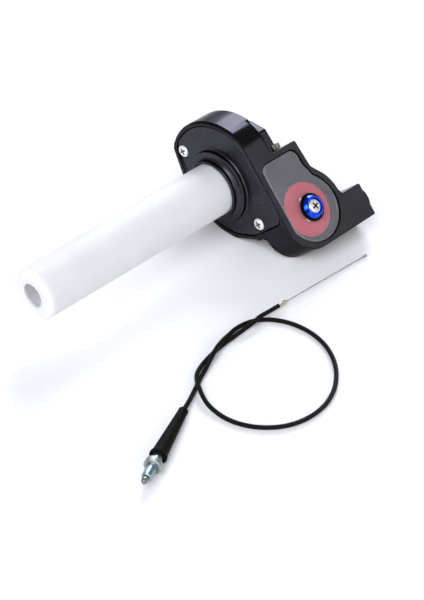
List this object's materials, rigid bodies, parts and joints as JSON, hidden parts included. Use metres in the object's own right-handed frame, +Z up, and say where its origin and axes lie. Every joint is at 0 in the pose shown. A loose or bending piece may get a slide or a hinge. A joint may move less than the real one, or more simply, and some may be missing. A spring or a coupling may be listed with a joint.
{
  "type": "motorcycle twist throttle",
  "caption": "Twist throttle for a 22 mm bar: white tube, black housing with a clear window over a red cable pulley, and a loose pull cable.",
  "frame": {"origin": "on the handlebar and twist axis, in the plane of the housing's outer face", "axes": "+X along the handlebar towards its middle, so the tube's free end points to -X; +Z up with the housing lying on the ground at z = -25 mm; the window faces -Y and up"},
  "size_m": [0.2106, 0.1555, 0.058],
  "materials": {
    "nylon_white": "milky white moulded nylon, satin",
    "black_alloy": "satin black painted cast aluminium",
    "clear_acrylic": "clear polished acrylic",
    "red_alloy": "red anodised, fine turned",
    "blue_alloy": "deep blue anodised, polished",
    "bright_steel": "bright zinc plated",
    "zinc_blue": "blue passivated zinc",
    "nickel": "nickel plated brass",
    "black_rubber": "matt black rubber",
    "black_sheath": "extruded black sheath, semi-matt",
    "wire_steel": "stranded steel wire",
    "acetal": "natural acetal"
  },
  "bodies": {
    "housing": {"main_housing": "black_alloy", "front_cover": "black_alloy", "cover_screw_upper": "bright_steel", "cover_screw_lower": "bright_steel", "outer_thrust_washer": "acetal", "inner_thrust_washer": "acetal", "window_lens": "clear_acrylic", "window_gasket": "black_rubber", "pulley_bush": "nickel", "lens_washer": "bright_steel", "cup_washer_seal": "black_rubber", "cup_washer": "blue_alloy", "pulley_screw": "bright_steel", "pulley_nut": "bright_steel", "bar_clamp": "black_alloy", "clamp_bolt_upper": "bright_steel", "clamp_bolt_lower": "bright_steel", "ledge_screw": "bright_steel", "cable_sheath": "black_sheath", "sheath_ferrule": "nickel", "cable_boot": "black_rubber", "cable_adjuster": "zinc_blue"},
    "twist_tube": {"throttle_tube": "nylon_white", "cable_spool": "acetal"},
    "pulley": {"guide_pulley": "red_alloy"},
    "locknut": {"adjuster_locknut": "bright_steel"},
    "pull_end": {"ball_end": "bright_steel"},
    "carburettor_end": {"inner_wire": "wire_steel", "wire_nipple": "wire_steel"}
  },
  "joints": [
    {"name": "throttle_twist", "type": "hinge", "parent": "housing", "child": "twist_tube", "pos_m": [0, 0, 0], "axis": [-1, 0, 0], "range_deg": [0, 70]},
    {"name": "pulley_spin", "type": "hinge", "parent": "housing", "child": "pulley", "pos_m": [0.0193, -0.03429, -0.00799], "axis": [0, -0.7071, 0.7071], "continuous": true},
    {"name": "locknut_turn", "type": "hinge", "parent": "housing", "child": "locknut", "pos_m": [-0.14394, -0.09908, -0.02061], "axis": [-0.9074, -0.4177, 0.0466], "continuous": true},
    {"name": "ball_pull", "type": "slide", "parent": "housing", "child": "pull_end", "axis": [-0.9074, -0.4177, 0.0466], "range_m": [0, 0.012]},
    {"name": "wire_draw", "type": "slide", "parent": "housing", "child": "carburettor_end", "axis": [-0.999, 0.0287, 0.0349], "range_m": [0, 0.012]}
  ],
  "couplings": [
    {"joint": "wire_draw", "follows": "ball_pull", "ratio": 1}
  ]
}
